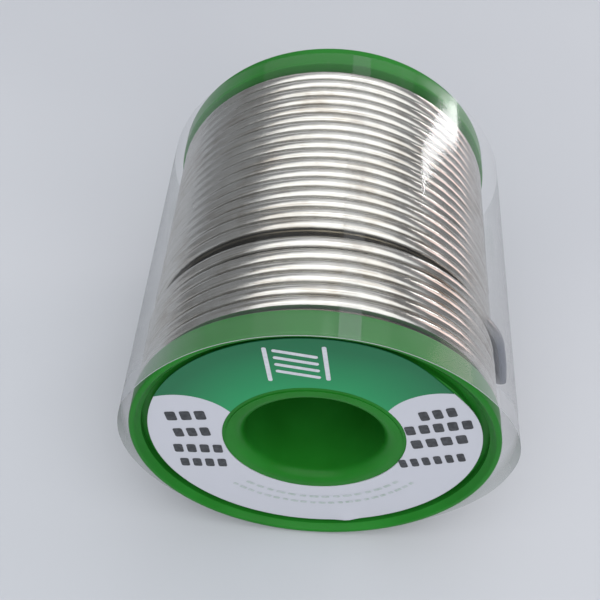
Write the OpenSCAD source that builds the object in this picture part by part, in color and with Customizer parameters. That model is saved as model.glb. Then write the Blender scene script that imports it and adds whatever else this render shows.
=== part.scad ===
// Spool of solder wire lying on its side, in a loose sleeve of clear film.
// The spool's axis is Y, the labelled flange faces -Y, and the origin is the middle of the bore.

/* [Spool] */
// Diameter of both flanges
flange_d = 55; // [50:0.5:60]
// Length over both flanges
spool_length = 60; // [60:1:70]
// Thickness of a flange at its rim
rim_thickness = 4; // [3.6:0.1:5]
// Width of the rim's end face
rim_face_width = 1; // [0.8:0.1:1.6]
// Depth of the recess in a flange's end face
recess_depth = 0.9; // [0.5:0.1:1.4]
// Diameter of the bore
bore_d = 21; // [20:0.5:22]
// Radius of the rolled lip at each end of the bore
bore_lip = 1.8; // [0.5:0.1:2.4]
// Outer diameter of the barrel under the winding
barrel_d = 25.6; // [25:0.1:28]
// Length of the spigot that joins the halves
spigot_length = 6; // [3:1:10]

/* [Label] */
// Diameter of the hub ring that the label goes round
hub_ring_d = 26.4; // [26:0.2:30]
// Outer diameter of the label
label_d = 49.6; // [48:0.2:50]
// Height by which the label sits above the middle of the recess
label_shift = 0.4; // [0:0.1:0.5]
// Thickness of the label
label_thickness = 0.15; // [0.1:0.01:0.2]

/* [Winding] */
// Diameter over the outer layer of turns
layer_d = 54.2; // [53:0.2:54.2]
// Diameter over the last turns, which lie loosely beside the front flange
last_turns_d = 54.6; // [54.2:0.1:54.6]
// Diameter of the tube that stands for the wire in its turns
turn_d = 1.7; // [1.4:0.1:1.7]
// Distance from one turn to the next
pitch = 2.12; // [2.11:0.01:2.14]
// Number of loops in the outer layer, before the last turns
layer_loops = 17; // [12:1:17]
// Number of the last turns, counted underneath the spool
last_turns = 6; // [3:1:6]
// Diameter of the wire at its cut end
wire_d = 2; // [1.8:0.1:2]
// Angle that the free end covers, in degrees
free_end_angle = 30; // [25:5:35]
// Height by which the free end springs out over the last turns
free_end_lift = 2.1; // [2.1:0.1:2.3]
// Distance by which it leans towards the front flange
free_end_lean = 5; // [3:0.5:5]

/* [Sleeve] */
// Thickness of the film
film_thickness = 0.25; // [0.2:0.01:0.35]
// Gap between the flanges and the film
film_gap = 0.3; // [0.3:0.05:0.6]
// Height by which the film bulges away from the flanges on the +X side
film_bulge_right = 2.4; // [2.3:0.1:3]
// Height by which it bulges on the -X side
film_bulge_left = 1.3; // [0:0.1:3]
// Length by which the film passes the front flange
film_overhang = 0.8; // [0:0.1:3]
// Width of the strip where the film laps over itself
overlap_width = 3; // [2:0.5:6]

/* [Hidden] */
$fn = 96;

// Overlap that joins two shapes, and how far a cut runs past a face
join = 0.01;
margin = 1;

plastic_color = "#24661D";
solder_color = "#C8C9CC";

flange_r = flange_d / 2;
half_length = spool_length / 2;
bore_r = bore_d / 2;
barrel_r = barrel_d / 2;
web_face = half_length - recess_depth - label_thickness;
hub_face = half_length - recess_depth;
recess_slope = 0.7;
rim_inner_r = flange_r - rim_face_width;
recess_r = rim_inner_r - recess_slope;
edge_chamfer = 0.3;
label_clearance = 0.1;
label_hole_r = hub_ring_d / 2 + label_shift + label_clearance;
spigot_r = (bore_r + barrel_r) / 2;

// Winding
winding_width = spool_length - 2 * rim_thickness;
turn_r = turn_d / 2;
turn_sides = 6;
rings_per_loop = 24;
turn_clearance = 0.1;
end_clearance = 0.2;
outer_turn_y = winding_width / 2 - turn_r - end_clearance;
ring_step = 360 / rings_per_loop;
layer_r = layer_d / 2 - turn_r;
last_turns_r = last_turns_d / 2 - turn_r;
// Angles are measured from the top towards +X: the last turns end in view, all other ends lie underneath
turns_end_angle = 60;
underneath = 180;
last_turns_steps = (360 * last_turns + turns_end_angle - underneath) / ring_step;
last_turns_rear_y = -outer_turn_y + pitch * last_turns_steps / rings_per_loop;
core_r = layer_r - turn_r - turn_clearance;
free_end_sides = 8;
free_end_step = 5;

// Film
film_inner_r = flange_r + film_gap;
film_outer_r = film_inner_r + film_thickness;
film_rear_y = half_length - rim_thickness / 2;
film_front_y = -half_length - film_overhang;
film_length = film_rear_y - film_front_y;
bulge_angle = 92;
bulge_spread = 35;
ground_from_angle = 100;
outline_step = 4;
overlap_angle = 6;
overlap_thickness = 0.2;

function on_axis(radius, y, angle) = [radius * sin(angle), y, radius * cos(angle)];

// Turns a profile of [radius, height] points about Y, with the height towards +Y
module turned_about_y() {
    rotate([-90, 0, 0]) rotate_extrude() children();
}

// Flange section from the bore outwards, with its end face at height half_length
module flange_section() {
    difference() {
        union() {
            translate([bore_r, half_length - rim_thickness])
                square([flange_r - bore_r - edge_chamfer, rim_thickness]);
            translate([flange_r - edge_chamfer - join, half_length - rim_thickness])
                polygon([
                    [0, 0],
                    [edge_chamfer + join, edge_chamfer],
                    [edge_chamfer + join, rim_thickness - edge_chamfer],
                    [0, rim_thickness]
                ]);
        }
        polygon([
            [hub_ring_d / 2, web_face],
            [recess_r, web_face],
            [recess_r, hub_face],
            [rim_inner_r, half_length],
            [rim_inner_r, half_length + margin],
            [0, half_length + margin],
            [0, hub_face],
            [hub_ring_d / 2, hub_face]
        ]);
        translate([bore_r, hub_face - bore_lip])
            difference() {
                translate([-margin, 0]) square([bore_lip + margin, bore_lip + margin]);
                translate([bore_lip, 0]) circle(bore_lip);
            }
    }
}

// Section of one half: its flange, and its barrel from mid spool
module half_section() {
    flange_section();
    translate([bore_r, 0])
        square([barrel_r - bore_r, half_length - rim_thickness + join]);
}

// Front half, with the socket for the spigot
module spool_front_half() {
    color(plastic_color)
        mirror([0, 1, 0])
            turned_about_y()
                difference() {
                    half_section();
                    translate([0, -margin]) square([spigot_r, spigot_length + margin]);
                }
}

// Rear half, with the spigot
module spool_rear_half() {
    color(plastic_color)
        turned_about_y() {
            half_section();
            translate([bore_r, -spigot_length])
                square([spigot_r - bore_r, spigot_length + join]);
        }
}

module front_label() {
    color("#BEC1C8")
        translate([0, 0, label_shift])
            mirror([0, 1, 0])
                turned_about_y()
                    translate([label_hole_r, web_face])
                        square([label_d / 2 - label_hole_r, label_thickness]);
}

module wire_inner_layers() {
    color("#8A8C90")
        turned_about_y()
            translate([barrel_r, -winding_width / 2])
                square([core_r - barrel_r, winding_width]);
}

// Sweeps a tube along points: rings[i] is a list of the points round it
module swept_tube(rings) {
    ring_count = len(rings);
    sides = len(rings[0]);
    points = [for (ring = rings) for (p = ring) p];
    side_faces = [
        for (i = [0:ring_count - 2])
            for (j = [0:sides - 1])
                let (
                    a = i * sides + j,
                    b = i * sides + (j + 1) % sides,
                    c = a + sides,
                    d = b + sides
                )
                each [[a, b, d], [a, d, c]]
    ];
    start_cap = [for (j = [1:sides - 2]) [0, j + 1, j]];
    last = (ring_count - 1) * sides;
    end_cap = [for (j = [1:sides - 2]) [last, last + j, last + j + 1]];
    polyhedron(points, concat(side_faces, start_cap, end_cap), convexity = 10);
}

// Ring of tube points about a centre, in the plane of the radial direction and the axis
function ring_at(centre, angle, radius, sides) = [
    for (j = [0:sides - 1])
        let (turn = 360 * j / sides + 180 / sides)
        centre
            + radius * cos(turn) * [sin(angle), 0, cos(angle)]
            + radius * sin(turn) * [0, 1, 0]
];

// Straight lead at a tube's end, along the winding direction at an angle
function lead(centre, angle, distance) = centre + distance * [cos(angle), 0, -sin(angle)];

// Rings of a wound tube that ends at end_angle, straight at both ends
function wound_rings(radius, start_y, y_per_loop, steps, end_angle) =
    let (
        angles = [for (i = [0:steps]) end_angle + (i - steps) * ring_step],
        centres = [
            for (i = [0:steps])
                on_axis(radius, start_y + y_per_loop * i / rings_per_loop, angles[i])
        ]
    )
    concat(
        [ring_at(lead(centres[0], angles[0], -turn_d), angles[0], turn_r, turn_sides)],
        [for (i = [0:steps]) ring_at(centres[i], angles[i], turn_r, turn_sides)],
        [ring_at(lead(centres[steps], angles[steps], turn_d), angles[steps], turn_r, turn_sides)]
    );

layer_rings =
    wound_rings(layer_r, outer_turn_y, -pitch, layer_loops * rings_per_loop, underneath);
last_turns_rings =
    wound_rings(last_turns_r, -outer_turn_y, pitch, last_turns_steps, turns_end_angle);

// Least distance between the surface points of one loop and the next
function loop_gap(rings) = min([
    for (i = [1:rings_per_loop])
        min([
            for (a = rings[i])
                for (b = rings[i + rings_per_loop])
                    norm(a - b)
        ])
]);
echo(least_gap_of_outer_layer = loop_gap(layer_rings));
echo(least_gap_of_last_turns = loop_gap(last_turns_rings));

module wire_outer_layer() {
    color(solder_color) swept_tube(layer_rings);
}

module wire_last_turns() {
    color(solder_color) swept_tube(last_turns_rings);
}

// The free end goes on from the last turns' straight end: it rises first, then leans over its neighbours
last_turns_end = on_axis(last_turns_r, last_turns_rear_y, turns_end_angle);
free_end_start = lead(last_turns_end, turns_end_angle, turn_d);
free_end_steps = free_end_angle / free_end_step;
free_end_base_angle = atan2(free_end_start[0], free_end_start[2]);
free_end_base_r = norm([free_end_start[0], free_end_start[2]]);
free_end_rings = concat(
    [ring_at(free_end_start, turns_end_angle, wire_d / 2, free_end_sides)],
    [
        for (i = [1:free_end_steps])
            let (
                share = i / free_end_steps,
                angle = free_end_base_angle + i * free_end_step,
                radius = free_end_base_r + free_end_lift * sin(90 * share),
                y = free_end_start[1] - free_end_lean * pow(share, 3)
            )
            ring_at(on_axis(radius, y, angle), angle, wire_d / 2, free_end_sides)
    ]
);

module wire_free_end() {
    color("#7C8494") swept_tube(free_end_rings);
}

// Radius of the film at an angle from the top: it bulges at the sides and lies flat underneath
function film_radius(radius, angle) =
    let (
        side = abs(angle),
        height = angle > 0 ? film_bulge_right : film_bulge_left,
        bulged = radius + height * exp(-pow((side - bulge_angle) / bulge_spread, 2))
    )
    side > ground_from_angle ? min(bulged, radius / cos(180 - side)) : bulged;

module film_outline(radius) {
    polygon([
        for (angle = [-180:outline_step:179])
            film_radius(radius, angle) * [sin(angle), cos(angle)]
    ]);
}

// Draws an outline of [x, z] points and extrudes it from y to y + length
module along_y(y, length) {
    translate([0, y + length, 0]) rotate([90, 0, 0]) linear_extrude(length) children();
}

module clear_sleeve() {
    color("#DDE4E8", 0.35)
        along_y(film_front_y, film_length)
            difference() {
                film_outline(film_outer_r);
                film_outline(film_inner_r);
            }
}

module sleeve_overlap() {
    color("#D0D8DC", 0.5)
        along_y(film_front_y, film_length)
            intersection() {
                difference() {
                    film_outline(film_outer_r + overlap_thickness);
                    film_outline(film_outer_r);
                }
                rotate(-overlap_angle)
                    translate([-overlap_width / 2, 0])
                        square([overlap_width, 2 * flange_r]);
            }
}

spool_front_half();
spool_rear_half();
front_label();
wire_inner_layers();
wire_outer_layer();
wire_last_turns();
wire_free_end();
clear_sleeve();
sleeve_overlap();
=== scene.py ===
import math

import bmesh
import bpy
from mathutils import Matrix, Vector, noise


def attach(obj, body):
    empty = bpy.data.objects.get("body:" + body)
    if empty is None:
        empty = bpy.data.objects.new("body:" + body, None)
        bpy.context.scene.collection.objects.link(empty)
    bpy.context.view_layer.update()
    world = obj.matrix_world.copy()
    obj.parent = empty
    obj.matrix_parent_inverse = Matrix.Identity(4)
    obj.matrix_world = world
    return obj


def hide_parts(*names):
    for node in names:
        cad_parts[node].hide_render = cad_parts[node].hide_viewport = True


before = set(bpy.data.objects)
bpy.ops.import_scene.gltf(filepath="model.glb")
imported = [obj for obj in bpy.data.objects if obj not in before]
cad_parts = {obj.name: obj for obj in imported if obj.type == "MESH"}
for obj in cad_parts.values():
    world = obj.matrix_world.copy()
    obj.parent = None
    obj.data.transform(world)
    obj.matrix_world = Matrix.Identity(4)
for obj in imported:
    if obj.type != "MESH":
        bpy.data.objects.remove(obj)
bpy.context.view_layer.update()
print("frame loaded:", len(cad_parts), "nodes")

mm = 0.001
weldDistance = 0.004 * mm


# angles run from the top towards +X, as in the part
def polar(radius, y, degrees):
    a = math.radians(degrees)
    return Vector((radius * math.sin(a), y, radius * math.cos(a)))


def angleOf(point):
    return math.degrees(math.atan2(point.x, point.z))


def smoothStep(low, high, value):
    t = min(1.0, max(0.0, (value - low) / (high - low)))
    return t * t * (3 - 2 * t)


# soft hump of height 1 at a place, falling off over a spread
def hump(value, place, spread):
    return math.exp(-((value - place) / spread) ** 2)


def blendKeys(keys, value):
    for (a, low), (b, high) in zip(keys, keys[1:]):
        if value <= b:
            return low + (high - low) * smoothStep(a, b, value)
    return keys[-1][1]


def hexColour(text):
    channels = [int(text[i:i + 2], 16) / 255 for i in (1, 3, 5)]
    linear = [c / 12.92 if c <= 0.04045 else ((c + 0.055) / 1.055) ** 2.4 for c in channels]
    return (*linear, 1.0)


# materials

def newMaterial(name):
    material = bpy.data.materials.new(name)
    material.use_nodes = True
    material.node_tree.nodes.clear()
    return material, material.node_tree


# adds one node: settings are its attributes, values its socket defaults, links the sockets it reads
def addNode(tree, kind, settings=None, values=None, links=None):
    node = tree.nodes.new(kind)
    for key, value in (settings or {}).items():
        setattr(node, key, value)
    for key, value in (values or {}).items():
        node.inputs[key].default_value = value
    for key, source in (links or {}).items():
        tree.links.new(source, node.inputs[key])
    return node


def addRamp(tree, factor, stops):
    ramp = addNode(tree, "ShaderNodeValToRGB", links={"Fac": factor})
    elements = ramp.color_ramp.elements
    while len(elements) < len(stops):
        elements.new(0.5)
    for element, (position, colour) in zip(elements, stops):
        element.position = position
        element.color = colour
    return ramp.outputs["Color"]


def greyStop(position, level):
    return (position, (level, level, level, 1))


def mathNode(tree, operation, first, second=None):
    node = addNode(tree, "ShaderNodeMath", {"operation": operation})
    for socket, value in zip(node.inputs, (first, second)):
        if value is None:
            continue
        if isinstance(value, (int, float)):
            socket.default_value = value
        else:
            tree.links.new(value, socket)
    return node.outputs[0]


def hexStop(position, text):
    return (position, hexColour(text))


def sumOfSquares(tree, first, second):
    return mathNode(tree, "ADD", mathNode(tree, "MULTIPLY", first, first),
                    mathNode(tree, "MULTIPLY", second, second))


def objectPlace(tree):
    return addNode(tree, "ShaderNodeTexCoord").outputs["Object"]


def splitAxes(tree, vector):
    return addNode(tree, "ShaderNodeSeparateXYZ", links={"Vector": vector}).outputs


# scale is the number of noise cells in a metre
def addNoise(tree, place, scale, detail=2.0, roughness=0.5):
    values = {"Scale": scale, "Detail": detail, "Roughness": roughness}
    return addNode(tree, "ShaderNodeTexNoise", values=values, links={"Vector": place}).outputs["Fac"]


# depth is in millimetres
def addBump(tree, height, strength, depth=0.02):
    values = {"Strength": strength, "Distance": depth * mm}
    return addNode(tree, "ShaderNodeBump", values=values, links={"Height": height}).outputs[0]


def finishMaterial(tree, shader):
    addNode(tree, "ShaderNodeOutputMaterial", links={"Surface": shader.outputs[0]})


plasticLook = {
    "deep": "#1B6B1C", "lit": "#247D28", "cloudSize": 14, "grainSize": 0.35, "grainBump": 0.04,
    "roughness": 0.34, "smoother": 0.05, "rougher": 0.1,
    "ior": 1.59, "specular": 0.1, "subsurface": 0.08, "subsurfaceDepth": 0.0006,
}


# injection-moulded polystyrene: an even green, faintly clouded, with a soft shine and a fine eroded grain
def makeMouldedPolystyrene():
    look = plasticLook
    material, tree = newMaterial("mouldedPolystyrene")
    place = objectPlace(tree)
    cloud = addNoise(tree, place, 1000 / look["cloudSize"], detail=3.0)
    grain = addNoise(tree, place, 1000 / look["grainSize"])
    colour = addRamp(tree, cloud, [hexStop(0.3, look["deep"]), hexStop(0.75, look["lit"])])
    polish = addRamp(tree, cloud, [greyStop(0.25, look["roughness"] - look["smoother"]),
                                   greyStop(0.8, look["roughness"] + look["rougher"])])
    shader = addNode(tree, "ShaderNodeBsdfPrincipled",
                     values={"IOR": look["ior"], "Specular IOR Level": look["specular"],
                             "Subsurface Weight": look["subsurface"],
                             "Subsurface Scale": look["subsurfaceDepth"]},
                     links={"Base Color": colour, "Roughness": polish,
                            "Normal": addBump(tree, grain, look["grainBump"])})
    finishMaterial(tree, shader)
    return material


solderLook = {
    # the darker pair of solder colours is painted shade for the lower layer under the outer turns
    "bright": "#C4C3BE", "dull": "#A8A298", "innerShade": ("#7A7466", "#524D42"),
    # the blue-grey is painted shade on the cut end of the wire
    "endShade": "#5E6472", "endShadeShares": (0.33, 0.42),
    "dieLine": 0.16, "lineLength": 1.6, "lineBump": 0.06, "markScale": 170.0,
    "roughness": 0.2, "smoother": 0.03, "rougher": 0.08,
}


# drawn tin alloy: bright, with fine die lines along the wire and dull marks between them
# the last argument gives the two angles, as shares of a half turn, between which the wire's end darkens to a
# painted shade
def makeDrawnSolder(name, bright, dull, endShadeShares=None):
    look = solderLook
    material, tree = newMaterial(name)
    place = objectPlace(tree)
    axes = splitAxes(tree, place)
    radius = mathNode(tree, "SQRT", sumOfSquares(tree, axes[2], axes[0]))
    turn = mathNode(tree, "ARCTAN2", axes[0], axes[2])
    lineScale = 1 / (look["dieLine"] * mm)
    lineSpace = addNode(tree, "ShaderNodeCombineXYZ", links={
        "X": mathNode(tree, "MULTIPLY", turn, look["lineLength"]),
        "Y": mathNode(tree, "MULTIPLY", axes[1], lineScale),
        "Z": mathNode(tree, "MULTIPLY", radius, lineScale),
    })
    lines = addNoise(tree, lineSpace.outputs[0], 1.0, roughness=0.6)
    marks = addNoise(tree, place, look["markScale"], detail=4.0, roughness=0.6)
    marked = mathNode(tree, "MULTIPLY", lines, marks)
    colour = addRamp(tree, marked, [hexStop(0.12, dull), hexStop(0.27, bright)])
    if endShadeShares is not None:
        # painted shade: past these angles the wire's end turns blue-grey and loses its shine
        share = mathNode(tree, "DIVIDE", turn, math.pi)
        endShadeAmount = addRamp(tree, share, [greyStop(endShadeShares[0], 0.0), greyStop(endShadeShares[1], 1.0)])
        mixed = addNode(tree, "ShaderNodeMix", {"data_type": "RGBA"}, {"B": hexColour(look["endShade"])},
                        {"Factor": endShadeAmount, "A": colour})
        colour = mixed.outputs["Result"]
    polish = addRamp(tree, marks, [greyStop(0.3, look["roughness"] - look["smoother"]),
                                   greyStop(0.75, look["roughness"] + look["rougher"])])
    shader = addNode(tree, "ShaderNodeBsdfPrincipled", values={"Metallic": 1.0},
                     links={"Base Color": colour, "Roughness": polish,
                            "Normal": addBump(tree, lines, look["lineBump"])})
    finishMaterial(tree, shader)
    return material


fluxLook = {"colour": "#9A7A3C", "dark": "#6E5428", "cloudScale": 3000.0, "ior": 1.54, "roughness": 0.25}


# rosin flux: a hard amber resin that fills the core and shows at the cut
def makeRosinFlux():
    look = fluxLook
    material, tree = newMaterial("rosinFlux")
    cloud = addNoise(tree, objectPlace(tree), look["cloudScale"])
    colour = addRamp(tree, cloud, [hexStop(0.3, look["dark"]), hexStop(0.7, look["colour"])])
    shader = addNode(tree, "ShaderNodeBsdfPrincipled",
                     values={"IOR": look["ior"], "Roughness": look["roughness"]},
                     links={"Base Color": colour})
    finishMaterial(tree, shader)
    return material


# tilt is the angle by which the spool has rolled; the arcs bound the white panels at their tops
labelLook = {
    "tilt": -7.5, "arcX": 19.0, "arcZ": 3.7, "arcRadius": 8.82,
    # the two field greens are a painted lit and shaded version of the one printed green
    "fieldDark": "#196A45", "fieldLit": "#21925B", "fieldInner": 12.0, "fieldOuter": 25.0,
    "white": "#C3C5CE", "cloudScale": 70.0, "cloudShare": 0.25, "fibreScale": 2500.0, "fibreBump": 0.1,
    "roughness": 0.42, "specular": 0.3,
}


# coated paper, offset printed: a green field over the top and white panels below, slightly satin; the field's
# darkening towards the rim is painted shade
def makeCoatedPaper():
    look = labelLook
    material, tree = newMaterial("coatedPaper")
    place = objectPlace(tree)
    axes = splitAxes(tree, place)
    turned = addNode(tree, "ShaderNodeMapping", values={"Rotation": (0, math.radians(-look["tilt"]), 0)},
                     links={"Vector": place})
    level = splitAxes(tree, turned.outputs[0])
    offX = mathNode(tree, "SUBTRACT", mathNode(tree, "ABSOLUTE", level["X"]), look["arcX"] * mm)
    offZ = mathNode(tree, "SUBTRACT", level["Z"], look["arcZ"] * mm)
    inArc = mathNode(tree, "LESS_THAN", sumOfSquares(tree, offX, offZ), (look["arcRadius"] * mm) ** 2)
    below = mathNode(tree, "LESS_THAN", level["Z"], look["arcZ"] * mm)
    panel = mathNode(tree, "MAXIMUM", inArc, below)
    # painted shade: the green field grows darker from the hub out to the rim, with a faint cloud
    radius = mathNode(tree, "SQRT", sumOfSquares(tree, axes[0], axes[2]))
    span = (look["fieldOuter"] - look["fieldInner"]) * mm
    outward = mathNode(tree, "DIVIDE", mathNode(tree, "SUBTRACT", radius, look["fieldInner"] * mm), span)
    cloud = addNoise(tree, place, look["cloudScale"])
    shade = mathNode(tree, "ADD", outward, mathNode(tree, "MULTIPLY", cloud, look["cloudShare"]))
    field = addRamp(tree, shade, [hexStop(0.2, look["fieldLit"]), hexStop(1.0, look["fieldDark"])])
    colour = addNode(tree, "ShaderNodeMix", {"data_type": "RGBA"}, {"B": hexColour(look["white"])},
                     {"Factor": panel, "A": field})
    fibre = addNoise(tree, place, look["fibreScale"], detail=3.0)
    shader = addNode(tree, "ShaderNodeBsdfPrincipled",
                     values={"Roughness": look["roughness"], "Specular IOR Level": look["specular"]},
                     links={"Base Color": colour.outputs["Result"],
                            "Normal": addBump(tree, fibre, look["fibreBump"])})
    finishMaterial(tree, shader)
    return material


# each ink has its full colour and its colour where it is thin
inkLook = {
    "black": ("#26282D", "#4A4C52"), "fadedGreen": ("#A3B2AC", labelLook["white"]),
    "white": (labelLook["white"], "#D2D5DA"), "wearScale": 1800.0, "roughness": 0.5,
}


# printing ink: flat and dull, a little uneven where the paper shows through
def makeInk(name, full, thin):
    material, tree = newMaterial(name)
    wear = addNoise(tree, objectPlace(tree), inkLook["wearScale"], detail=3.0)
    colour = addRamp(tree, wear, [hexStop(0.35, full), hexStop(0.8, thin)])
    shader = addNode(tree, "ShaderNodeBsdfPrincipled", values={"Roughness": inkLook["roughness"]},
                     links={"Base Color": colour})
    finishMaterial(tree, shader)
    return material


# rim is where the film over the front flange gets a painted pale reflection, side is where that painted
# reflection is stronger, to the left and right
filmLook = {
    "haze": "#B9BDC1", "shineFacing": 0.028, "shineGrazing": 0.3, "shinePower": 4.0, "roughness": 0.1,
    "streakStretch": 0.08, "streakScale": 900.0, "rippleScale": 90.0, "rippleBump": 0.04, "rippleDepth": 0.1,
    "rimHaze": 0.08, "rimFrom": -25.0, "rimTo": -27.5, "length": 60.0,
    "sideHaze": 2.6, "sideFrom": 15.0, "sideTo": 24.0, "halfWidth": 30.0,
    "single": (0.98, 0.36), "lapped": (0.96, 0.4), "cut": (0.45, 0.3),
}


# blown polyolefin film: clear face on, milky where it is seen edge on, glossy, with faint draw marks
def makeClearFilm(name, clearShare, edgeShare):
    look = filmLook
    material, tree = newMaterial(name)
    place = objectPlace(tree)
    axes = splitAxes(tree, place)
    drawn = addNode(tree, "ShaderNodeMapping", values={"Scale": (1.0, look["streakStretch"], 1.0)},
                    links={"Vector": place})
    streaks = addNoise(tree, drawn.outputs[0], look["streakScale"])
    ripple = addNoise(tree, place, look["rippleScale"])
    facing = addNode(tree, "ShaderNodeLayerWeight", values={"Blend": 0.5}).outputs["Facing"]
    hazeAmount = addRamp(tree, facing, [greyStop(0.5, 1 - clearShare), greyStop(0.98, edgeShare)])
    streakAmount = addRamp(tree, streaks, [greyStop(0.6, 0.0), greyStop(0.85, 0.05)])
    # painted reflection: a pale milky veil over the front rim, stronger towards the left and right sides
    forward = mathNode(tree, "DIVIDE", axes[1], -look["length"] * mm)
    rimSheen = addRamp(tree, forward, [greyStop(-look["rimFrom"] / look["length"], 0.0),
                                     greyStop(-look["rimTo"] / look["length"], look["rimHaze"])])
    sideways = mathNode(tree, "DIVIDE", mathNode(tree, "ABSOLUTE", axes[0]), look["halfWidth"] * mm)
    atSide = addRamp(tree, sideways, [greyStop(look["sideFrom"] / look["halfWidth"], 0.0),
                                      greyStop(look["sideTo"] / look["halfWidth"], 1.0)])
    sideShare = mathNode(tree, "ADD", mathNode(tree, "MULTIPLY", atSide, look["sideHaze"]), 1.0)
    rimSheen = mathNode(tree, "MULTIPLY", rimSheen, sideShare)
    haze = mathNode(tree, "ADD", mathNode(tree, "ADD", hazeAmount, streakAmount), rimSheen)
    clear = addNode(tree, "ShaderNodeBsdfTransparent", values={"Color": (1, 1, 1, 1)})
    milky = addNode(tree, "ShaderNodeBsdfDiffuse", values={"Color": hexColour(look["haze"])})
    body = addNode(tree, "ShaderNodeMixShader", links={0: haze, 1: clear.outputs[0], 2: milky.outputs[0]})
    shine = addNode(tree, "ShaderNodeBsdfGlossy", values={"Roughness": look["roughness"]},
                    links={"Normal": addBump(tree, ripple, look["rippleBump"], look["rippleDepth"])})
    steep = mathNode(tree, "POWER", facing, look["shinePower"])
    bounce = addRamp(tree, steep, [greyStop(0.0, look["shineFacing"]), greyStop(1.0, look["shineGrazing"])])
    shader = addNode(tree, "ShaderNodeMixShader", links={0: bounce, 1: body.outputs[0], 2: shine.outputs[0]})
    finishMaterial(tree, shader)
    return material


mouldedPolystyrene = makeMouldedPolystyrene()
drawnSolder = makeDrawnSolder("drawnSolder", solderLook["bright"], solderLook["dull"])
# painted shade: a darker copy of the solder for the lower layer
shadedSolder = makeDrawnSolder("innerShadeSolder", *solderLook["innerShade"])
# the cut end gets painted shade from about 60 degrees round
endShadeSolder = makeDrawnSolder("endShadeSolder", solderLook["bright"], solderLook["dull"],
                                solderLook["endShadeShares"])
rosinFlux = makeRosinFlux()
coatedPaper = makeCoatedPaper()
darkInk = makeInk("blackInk", *inkLook["black"])
fadedInk = makeInk("fadedGreenInk", *inkLook["fadedGreen"])
whiteInk = makeInk("whiteInk", *inkLook["white"])
clearFilm = makeClearFilm("polyolefinFilm", *filmLook["single"])
scuffedFilm = makeClearFilm("scuffedFilm", *filmLook["lapped"])
cutFilm = makeClearFilm("cutFilmEdge", *filmLook["cut"])
print("materials made")


# shared mesh steps

def linkMesh(name, bm, material):
    mesh = bpy.data.meshes.new(name)
    bm.to_mesh(mesh)
    bm.free()
    mesh.materials.append(material)
    piece = bpy.data.objects.new(name, mesh)
    bpy.context.scene.collection.objects.link(piece)
    return piece


def keepMesh(name, bm, material, smooth=True):
    bmesh.ops.remove_doubles(bm, verts=bm.verts, dist=weldDistance)
    bmesh.ops.recalc_face_normals(bm, faces=bm.faces)
    piece = linkMesh(name, bm, material)
    for face in piece.data.polygons:
        face.use_smooth = smooth
    return piece


def markSharp(piece, degrees):
    piece.data.set_sharp_from_angle(angle=math.radians(degrees))


# profile is a list of (radius, y) pairs in millimetres
def spinProfile(bm, profile, steps, closed=True):
    corners = [bm.verts.new((0, y * mm, radius * mm)) for radius, y in profile]
    edges = [bm.edges.new(pair) for pair in zip(corners, corners[1:])]
    if closed:
        edges.append(bm.edges.new((corners[-1], corners[0])))
    bmesh.ops.spin(bm, geom=corners + edges, cent=(0, 0, 0), axis=(0, 1, 0), angle=math.tau, steps=steps,
                   use_merge=True)


def arcPoints(centre, radius, first, last, count):
    points = []
    for i in range(count + 1):
        a = math.radians(first + (last - first) * i / count)
        points.append((centre[0] + radius * math.cos(a), centre[1] + radius * math.sin(a)))
    return points


# spool

spool = {
    "flangeRadius": 27.5, "halfLength": 30.0, "rimThickness": 4.0, "rimInner": 26.5, "edgeRound": 0.35,
    "recessRadius": 25.8, "recessDepth": 0.9, "grooveInner": 24.3, "grooveDepth": 0.9, "labelDepth": 0.15,
    "hubRing": 13.2, "boreRadius": 10.5, "boreLip": 1.8, "boreStart": 3,
    "barrelRadius": 12.8, "barrelChamfer": 0.6, "spigotRadius": 11.65, "spigotLength": 6.0,
    "steps": 160, "sharpAngle": 35,
}


# half section from the bore, up the end face, over the rim and back along the barrel, for the +Y end
def halfSection(isFront):
    s = spool
    end = s["halfLength"]
    hub = end - s["recessDepth"]
    web = hub - s["labelDepth"]
    back = end - s["rimThickness"]
    rounding = s["edgeRound"]
    section = [(s["boreRadius"], hub - s["boreLip"] - s["boreStart"])]
    section += arcPoints((s["boreRadius"] + s["boreLip"], hub - s["boreLip"]), s["boreLip"], 180, 90, 10)
    groove = web - s["grooveDepth"]
    section += [(s["hubRing"], hub), (s["hubRing"], web), (s["grooveInner"], web), (s["grooveInner"], groove),
                (s["recessRadius"], groove), (s["recessRadius"], hub)]
    section += arcPoints((s["rimInner"] + rounding, end - rounding), rounding, 160, 90, 4)
    section += arcPoints((s["flangeRadius"] - rounding, end - rounding), rounding, 90, 0, 5)
    section += arcPoints((s["flangeRadius"] - rounding, back + rounding), rounding, 0, -90, 5)
    barrel, chamfer = s["barrelRadius"], s["barrelChamfer"]
    section += [(barrel + chamfer, back), (barrel, back - chamfer), (barrel, 0)]
    # the rear half's spigot reaches into the front half
    reach = s["spigotLength"] if isFront else -s["spigotLength"]
    section += [(s["spigotRadius"], 0), (s["spigotRadius"], reach), (s["boreRadius"], reach)]
    return section


def makeSpoolHalf(name, isFront):
    direction = -1 if isFront else 1
    bm = bmesh.new()
    spinProfile(bm, [(radius, direction * y) for radius, y in halfSection(isFront)], spool["steps"])
    piece = keepMesh(name, bm, mouldedPolystyrene)
    markSharp(piece, spool["sharpAngle"])
    return piece


spoolFront = makeSpoolHalf("spoolFront", True)
spoolRear = makeSpoolHalf("spoolRear", False)
for piece, node in ((spoolFront, "spool_front_half"), (spoolRear, "spool_rear_half")):
    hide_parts(node)
    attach(piece, "spool")
print("spool halves made")


# label

label = {
    "inner": 13.7, "outer": 24.75, "shift": 0.4, "face": -29.1, "thickness": 0.135, "rings": 14, "steps": 180,
    "flatUntil": 5, "sharpAngle": 40,
    "shyAngle": 48, "shySpread": 17, "shyDepth": 1.1,          # where the label's edge falls short of the rim
    "creaseAngle": 165, "creaseSpread": 3.2, "creaseHeight": 0.28,
}


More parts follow.
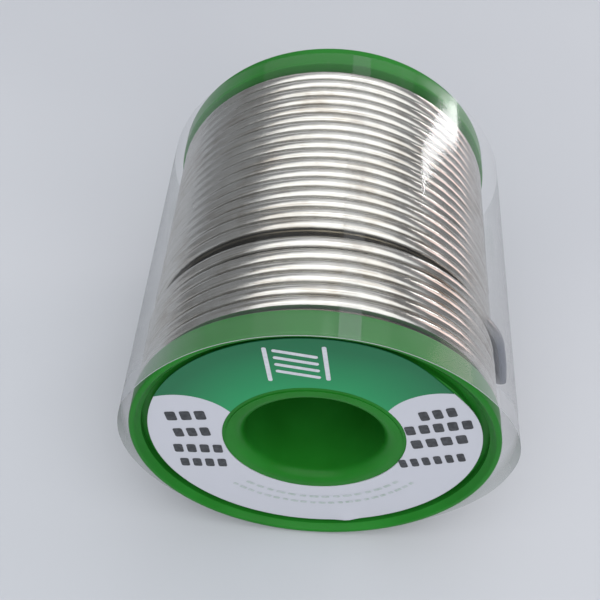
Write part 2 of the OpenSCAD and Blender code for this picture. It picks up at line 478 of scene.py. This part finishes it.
def makeLabel():
    bm = bmesh.new()
    span = label["outer"] - label["inner"]
    row = [(label["inner"] + span * i / label["rings"], label["face"]) for i in range(label["rings"] + 1)]
    spinProfile(bm, row, label["steps"], closed=False)
    bmesh.ops.remove_doubles(bm, verts=bm.verts, dist=weldDistance)
    for vert in bm.verts:
        angle = angleOf(vert.co)
        radius = math.hypot(vert.co.x, vert.co.z) / mm
        outward = smoothStep(label["inner"] + label["flatUntil"], label["outer"], radius)
        radius -= label["shyDepth"] * outward * hump(angle, label["shyAngle"], label["shySpread"])
        crease = hump(angle, label["creaseAngle"], label["creaseSpread"])
        raised = label["creaseHeight"] * outward ** 3 * crease
        vert.co = polar(radius * mm, (label["face"] - raised) * mm, angle)
        vert.co.z += label["shift"] * mm
    bmesh.ops.recalc_face_normals(bm, faces=bm.faces)
    if sum(face.normal.y for face in bm.faces) > 0:
        bmesh.ops.reverse_faces(bm, faces=bm.faces)
    bmesh.ops.solidify(bm, geom=bm.faces[:], thickness=label["thickness"] * mm)
    return keepMesh("labelPaper", bm, coatedPaper)


labelPaper = makeLabel()
markSharp(labelPaper, label["sharpAngle"])
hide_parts("front_label")
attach(labelPaper, "spool")

# plain blocks stand in the places of the printed lines: (x, z, length, blocks, slope) in the label's own turn
printing = {
    "height": 2.3, "corner": 0.35, "lift": 0.03, "gap": 0.6,
    "lines": [(-18.1, 7.2, 6.0, 3, 2), (-18.0, 2.8, 5.5, 3, 3), (-17.9, -1.8, 7.5, 4, -2),
              (-17.8, -5.9, 7.2, 4, -2), (18.3, 7.4, 5.2, 3, 14), (18.4, 3.9, 9.6, 5, 11),
              (18.5, 0.1, 8.1, 4, 12), (17.4, -5.2, 9.8, 6, 12)],
    "arcs": [(16.6, 132, 226, 15), (18.6, 128, 230, 22)],      # radius, first and last angle, marks
    "arcHeight": 0.62, "arcCorner": 0.3, "arcFill": 0.72, "arcShortest": 0.8, "arcSpread": 0.35,
    "badge": {"x": -0.4, "z": 19.6, "width": 8.0, "height": 7.6, "stroke": 0.62, "corner": 0.45,
              "strands": 4, "strandSpan": 0.8, "strandLength": 0.78, "slant": 16},
}


def labelPoint(x, z):
    return Matrix.Rotation(math.radians(labelLook["tilt"]), 3, "Y") @ Vector((x * mm, 0, z * mm))


# one block with rounded corners on the label, centred at x and z
def addBlock(bm, x, z, width, height, corner, turn=0.0):
    spun = Matrix.Rotation(math.radians(turn), 3, "Y")
    inX, inZ = width / 2 - corner, height / 2 - corner
    flat = []
    for centre, start in (((inX, inZ), 0), ((-inX, inZ), 90), ((-inX, -inZ), 180), ((inX, -inZ), 270)):
        flat += arcPoints(centre, corner, start, start + 90, 4)
    corners = []
    for flatX, flatZ in flat:
        local = spun @ Vector((flatX, 0, flatZ))
        at = labelPoint(x + local.x, z + local.z)
        corners.append(bm.verts.new((at.x, (label["face"] - printing["lift"]) * mm, at.z)))
    bm.faces.new(corners)


def makePrintedBars():
    bm = bmesh.new()
    for x, z, length, blocks, slope in printing["lines"]:
        block = (length - printing["gap"] * (blocks - 1)) / blocks
        rise = math.tan(math.radians(slope))
        for i in range(blocks):
            along = -length / 2 + block / 2 + i * (block + printing["gap"])
            addBlock(bm, x + along, z + along * rise, block, printing["height"], printing["corner"], -slope)
    keepFlat("printedBars", bm, darkInk)


# a plain sign of a wound spool: two flanges with slanted strands between them
def makePrintedBadge():
    badge = printing["badge"]
    bm = bmesh.new()
    for side in (-1, 1):
        addBlock(bm, badge["x"] + side * badge["width"] / 2, badge["z"], badge["stroke"], badge["height"],
                 badge["stroke"] * badge["corner"])
    for i in range(badge["strands"]):
        share = (i + 0.5) / badge["strands"] - 0.5
        addBlock(bm, badge["x"], badge["z"] + share * badge["height"] * badge["strandSpan"],
                 badge["width"] * badge["strandLength"], badge["stroke"], badge["stroke"] * badge["corner"],
                 badge["slant"])
    keepFlat("printedBadge", bm, whiteInk)


# small marks of three lengths in turn, round the lower half
def makePrintedArcs():
    bm = bmesh.new()
    for radius, first, last, count in printing["arcs"]:
        room = printing["arcFill"] * radius * math.radians((last - first) / count)
        for i in range(count):
            angle = first + (last - first) * (i + 0.5) / count
            length = room * (printing["arcShortest"] + printing["arcSpread"] * (i % 3) / 2)
            at = polar(radius, 0, angle)
            addBlock(bm, at.x, at.z, length, printing["arcHeight"],
                     printing["arcHeight"] * printing["arcCorner"], angle)
    keepFlat("printedArcs", bm, fadedInk)


# ink lies on the paper and faces out of the label
def keepFlat(name, bm, material):
    bmesh.ops.recalc_face_normals(bm, faces=bm.faces)
    turned = [face for face in bm.faces if face.normal.y > 0]
    bmesh.ops.reverse_faces(bm, faces=turned)
    piece = linkMesh(name, bm, material)
    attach(piece, "spool")


makePrintedBars()
makePrintedBadge()
makePrintedArcs()
print("label made")


# wire

wire = {
    "radius": 1.0, "layerPitch": 2.09, "lastPitch": 2.1, "sides": 16, "stepsPerTurn": 72,
    "layerCentre": 26.1, "layerStart": 24.95, "layerTurns": 17, "layerEnd": 180,
    "lastCentre": 26.25, "lastStart": -24.95, "lastTurns": 4 + 2 / 3, "lastEnd": 60,
    "wander": 0.07, "wanderRate": 2.7, "lift": 0.06, "liftRate": 2.2, "steadyFor": 0.8, "freeFrom": 3.5,
    "sharpAngle": 50,
}


# a wound tube from startY; the last ring is at endAngle, and rise is the travel along Y in one turn
def makeTurns(name, centre, startY, turns, endAngle, rise, material):
    bm = bmesh.new()
    steps = int(turns * wire["stepsPerTurn"])
    turned = 360 * steps / wire["stepsPerTurn"]
    endY = startY + rise * turned / 360
    made = bmesh.ops.create_circle(bm, segments=wire["sides"], radius=wire["radius"] * mm, cap_ends=False)
    ringVerts = made["verts"]
    # the circle stands in the plane of the radius and the axis, at the top of the spool
    bmesh.ops.rotate(bm, verts=ringVerts, cent=(0, 0, 0), matrix=Matrix.Rotation(math.radians(90), 3, "Y"))
    bmesh.ops.translate(bm, verts=ringVerts, vec=(0, startY * mm, centre * mm))
    bmesh.ops.rotate(bm, verts=ringVerts, cent=(0, 0, 0),
                     matrix=Matrix.Rotation(math.radians(endAngle - turned), 3, "Y"))
    bmesh.ops.spin(bm, geom=bm.verts[:] + bm.edges[:], cent=(0, 0, 0), axis=(0, 1, 0),
                   dvec=(0, rise * mm / wire["stepsPerTurn"], 0), angle=math.radians(turned), steps=steps)
    for vert in bm.verts:
        angle = angleOf(vert.co)
        turnIndex = round((vert.co.y / mm - startY) / rise - (angle - endAngle) / 360)
        along = turnIndex + angle / 360
        y = vert.co.y / mm
        fade = smoothStep(wire["steadyFor"], wire["freeFrom"], min(abs(y - startY), abs(y - endY)))
        wandered = noise.noise(Vector((along * wire["wanderRate"], centre, 0.5)))
        lifted = noise.noise(Vector((along * wire["liftRate"], centre, 7.5)))
        vert.co.y += fade * wire["wander"] * mm * wandered
        push = 1 + fade * wire["lift"] * lifted / centre
        vert.co.x *= push
        vert.co.z *= push
    bmesh.ops.holes_fill(bm, edges=[edge for edge in bm.edges if edge.is_boundary], sides=wire["sides"])
    return keepMesh(name, bm, material)


layerTurns = makeTurns("wireLayer", wire["layerCentre"], wire["layerStart"], wire["layerTurns"],
                       wire["layerEnd"], -wire["layerPitch"], drawnSolder)
lastTurns = makeTurns("wireLastTurns", wire["lastCentre"], wire["lastStart"], wire["lastTurns"],
                      wire["lastEnd"], wire["lastPitch"], drawnSolder)
markSharp(layerTurns, wire["sharpAngle"])
markSharp(lastTurns, wire["sharpAngle"])
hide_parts("wire_outer_layer")
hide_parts("wire_last_turns")
print("turns made")

# the loose turn goes on from the last turns and ends at the cut: (angle, value) keys
looseTurn = {
    "first": -300, "join": 60, "last": 90, "step": 4, "endStep": 2,
    "y": [(-300, -15.15), (-180, -14.4), (0, -13.3), (60, -12.95), (76, -13.6), (86, -14.9), (93, -16.3)],
    "centre": [(-300, 26.25), (-180, 26.3), (0, 26.35), (60, 26.45), (76, 27.9), (93, 28.5)],
    "fluxRadius": 0.32, "fluxStep": 0.03,
}


def loosePoint(angle):
    return polar(blendKeys(looseTurn["centre"], angle) * mm, blendKeys(looseTurn["y"], angle) * mm, angle)


# tube along a path of points, its rings square to the path
def sweepTube(bm, path, radius, sides):
    rings = []
    for i, point in enumerate(path):
        ahead = path[min(i + 1, len(path) - 1)] - path[max(i - 1, 0)]
        across = Vector((0, 1, 0))
        outward = ahead.cross(across).normalized()
        sideways = outward.cross(ahead).normalized()
        made = bmesh.ops.create_circle(bm, segments=sides, radius=radius, cap_ends=False)
        placing = Matrix((outward, sideways, ahead.normalized())).transposed().to_4x4()
        placing.translation = point
        bmesh.ops.transform(bm, matrix=placing, verts=made["verts"])
        rings.append({edge for vert in made["verts"] for edge in vert.link_edges})
    for first, second in zip(rings, rings[1:]):
        bmesh.ops.bridge_loops(bm, edges=list(first | second))
    bmesh.ops.holes_fill(bm, edges=[edge for edge in bm.edges if edge.is_boundary], sides=sides)


def makeLoosePart(name, first, last, step, material):
    bm = bmesh.new()
    path = [loosePoint(first + step * i) for i in range((last - first) // step + 1)]
    sweepTube(bm, path, wire["radius"] * mm, wire["sides"])
    piece = keepMesh(name, bm, material)
    markSharp(piece, wire["sharpAngle"])
    return piece


def makeFluxCore():
    bm = bmesh.new()
    tip = loosePoint(looseTurn["last"])
    inside = loosePoint(looseTurn["last"] - 1)
    beyond = tip + (tip - inside).normalized() * looseTurn["fluxStep"] * mm
    sweepTube(bm, [inside, beyond], looseTurn["fluxRadius"] * mm, wire["sides"])
    return keepMesh("fluxCore", bm, rosinFlux)


wireLooseTurn = makeLoosePart("wireLooseTurn", looseTurn["first"], looseTurn["join"], looseTurn["step"],
                              drawnSolder)
wireCutEnd = makeLoosePart("wireCutEnd", looseTurn["join"], looseTurn["last"], looseTurn["endStep"],
                           endShadeSolder)
fluxCore = makeFluxCore()
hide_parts("wire_free_end")
for piece in (layerTurns, lastTurns, wireLooseTurn, wireCutEnd, fluxCore):
    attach(piece, "spool")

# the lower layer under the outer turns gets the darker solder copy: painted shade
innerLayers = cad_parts["wire_inner_layers"]
innerLayers.data.materials.clear()
innerLayers.data.materials.append(shadedSolder)
print("loose turn made")


# film sleeve

film = {
    "radius": 27.93, "rear": 28.0, "front": -30.0, "steps": 144, "rows": 60,
    "reach": [(-180, -0.9), (-80, -0.5), (-70, 0.0), (-65, 0.75), (60, 0.75), (80, 0.2), (100, -0.4),
              (180, -0.9)],
    "bulgeAngle": 92, "bulgeSpread": 35, "bulgeRight": 2.4, "bulgeLeft": 1.3,
    "ground": 28.03, "groundFrom": 100,
    "ripple": 0.05, "rippleRound": 0.06, "rippleAlong": 0.05,
}


def filmRadius(y, angle):
    folded = abs(angle)
    radius = film["radius"]
    bulge = film["bulgeRight"] if angle > 0 else film["bulgeLeft"]
    radius += bulge * hump(folded, film["bulgeAngle"], film["bulgeSpread"])
    place = Vector((angle * film["rippleRound"], y * film["rippleAlong"], 3.1))
    radius += film["ripple"] * noise.noise(place)
    if folded > film["groundFrom"]:
        radius = min(radius, film["ground"] / math.cos(math.radians(180 - folded)))
    return radius


# where the film ends at the labelled side: it reaches past the flange over the top only
def filmFront(angle):
    return film["front"] - blendKeys(film["reach"], angle)


def makeFilm():
    bm = bmesh.new()
    row = [(film["radius"], film["rear"] - i) for i in range(film["rows"] + 1)]
    spinProfile(bm, row, film["steps"], closed=False)
    bmesh.ops.remove_doubles(bm, verts=bm.verts, dist=weldDistance)
    for vert in bm.verts:
        angle = angleOf(vert.co)
        share = (film["rear"] - vert.co.y / mm) / film["rows"]
        front = filmFront(angle)
        y = film["rear"] + (front - film["rear"]) * share
        vert.co = polar(filmRadius(y, angle) * mm, y * mm, angle)
    bmesh.ops.recalc_face_normals(bm, faces=bm.faces)
    return keepMesh("filmSleeve", bm, clearFilm)


filmSleeve = makeFilm()
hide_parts("clear_sleeve")
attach(filmSleeve, "sleeve")

cutEdge = {"angles": (-66, 78), "step": 3, "radius": 0.045, "sides": 8}


# the cut film end catches light along its edge
def makeCutEdge():
    first, last = cutEdge["angles"]
    bm = bmesh.new()
    path = []
    for i in range((last - first) // cutEdge["step"] + 1):
        angle = first + cutEdge["step"] * i
        y = filmFront(angle)
        path.append(polar(filmRadius(y, angle) * mm, y * mm, angle))
    sweepTube(bm, path, cutEdge["radius"] * mm, cutEdge["sides"])
    return keepMesh("filmCutEdge", bm, cutFilm)


filmCutEdge = makeCutEdge()
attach(filmCutEdge, "sleeve")

overlap = {"angles": (4.5, 10.5), "rows": 40, "columns": 6, "lift": 0.1, "rearGap": 0.3}


def makeOverlap():
    bm = bmesh.new()
    grid = bmesh.ops.create_grid(bm, x_segments=overlap["columns"], y_segments=overlap["rows"], size=0.5)
    first, last = overlap["angles"]
    for vert in grid["verts"]:
        angle = first + (last - first) * (vert.co.x + 0.5)
        front = filmFront(angle)
        gap = overlap["rearGap"]
        y = film["rear"] - gap + (front - film["rear"] + gap) * (vert.co.y + 0.5)
        vert.co = polar((filmRadius(y, angle) + overlap["lift"]) * mm, y * mm, angle)
    return keepMesh("filmOverlap", bm, scuffedFilm)


filmOverlap = makeOverlap()
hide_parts("sleeve_overlap")
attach(filmOverlap, "sleeve")
print("film made")


# floor, light and camera

studio = {
    "worldHex": "#D6D9DF", "worldStrength": 0.42,
    "floorSize": 6.0, "floorDrop": 0.05, "floorDark": "#BBBEC4", "floorLit": "#C4C7CC",
    "cloudScale": 8.0, "floorRoughness": 0.6,
    "eye": (0.275, -105.9, 125.4), "yaw": -2.3, "pitch": 50.3, "roll": 2.1,
    "lens": 58.68, "sensor": 36, "clipStart": 0.005,
}


# painted board: a matt pale grey, faintly uneven
def makeFloor():
    material, tree = newMaterial("paintedBoard")
    cloud = addNoise(tree, objectPlace(tree), studio["cloudScale"])
    colour = addRamp(tree, cloud, [hexStop(0.3, studio["floorDark"]), hexStop(0.8, studio["floorLit"])])
    shader = addNode(tree, "ShaderNodeBsdfPrincipled", values={"Roughness": studio["floorRoughness"]},
                     links={"Base Color": colour})
    finishMaterial(tree, shader)
    bm = bmesh.new()
    made = bmesh.ops.create_grid(bm, x_segments=1, y_segments=1, size=studio["floorSize"] / 2)
    bmesh.ops.translate(bm, verts=made["verts"], vec=(0, 0, -(film["ground"] + studio["floorDrop"]) * mm))
    return keepMesh("floorBoard", bm, material, smooth=False)


floorBoard = makeFloor()


# name, place, target and size in metres, power and colour
lamps = [
    ("backWindow", (0.0, 1.25, 1.0), (0, 0, 0), (2.0, 1.0), 3.4, "#FFFFFF"),
    ("ceilingPanel", (0.08, 0.1, 1.35), (0, 0, 0), (1.2, 1.4), 5.6, "#FBFCFF"),
    ("frontSoftbox", (0.08, -0.7, 0.8), (0, 0, 0), (1.7, 1.4), 13.6, "#FFFFFF"),
    ("rightSoftbox", (0.6, 0.25, 0.14), (0, 0, 0.01), (0.3, 0.4), 0.8, "#FFE4E0"),
    ("stripLamp", (0.64, 0.76, 0.13), (0.012, 0.01, 0.02), (0.045, 0.42), 1.2, "#FFFFFF"),
]


def addLamp(name, place, target, size, power, colour):
    lamp = bpy.data.lights.new(name, "AREA")
    lamp.shape = "RECTANGLE"
    lamp.size, lamp.size_y = size
    lamp.energy = power
    lamp.color = hexColour(colour)[:3]
    holder = bpy.data.objects.new(name, lamp)
    holder.location = place
    holder.rotation_euler = (Vector(target) - Vector(place)).to_track_quat("-Z", "Y").to_euler()
    bpy.context.scene.collection.objects.link(holder)


def makeWorld():
    world = bpy.data.worlds.new("studioWorld")
    world.use_nodes = True
    tree = world.node_tree
    tree.nodes.clear()
    light = addNode(tree, "ShaderNodeBackground", values={"Color": hexColour(studio["worldHex"]),
                                                          "Strength": studio["worldStrength"]})
    addNode(tree, "ShaderNodeOutputWorld", links={"Surface": light.outputs[0]})
    bpy.context.scene.world = world


def makeCamera():
    data = bpy.data.cameras.new("photoCamera")
    data.lens = studio["lens"]
    data.sensor_width = studio["sensor"]
    camera = bpy.data.objects.new("photoCamera", data)
    yaw, pitch, roll = (math.radians(studio[key]) for key in ("yaw", "pitch", "roll"))
    forward = Vector((math.sin(yaw) * math.cos(pitch), math.cos(yaw) * math.cos(pitch), -math.sin(pitch)))
    level = Vector((math.cos(yaw), -math.sin(yaw), 0))
    up = level.cross(forward)
    right = level * math.cos(roll) + up * math.sin(roll)
    raised = -level * math.sin(roll) + up * math.cos(roll)
    turned = Matrix((right, raised, -forward)).transposed()
    camera.rotation_euler = turned.to_euler()
    camera.location = Vector(studio["eye"]) * mm
    data.clip_start = studio["clipStart"]
    bpy.context.scene.collection.objects.link(camera)
    bpy.context.scene.camera = camera


makeWorld()
for lamp in lamps:
    addLamp(*lamp)
makeCamera()
bpy.context.scene.view_settings.view_transform = "Standard"
print("studio made")
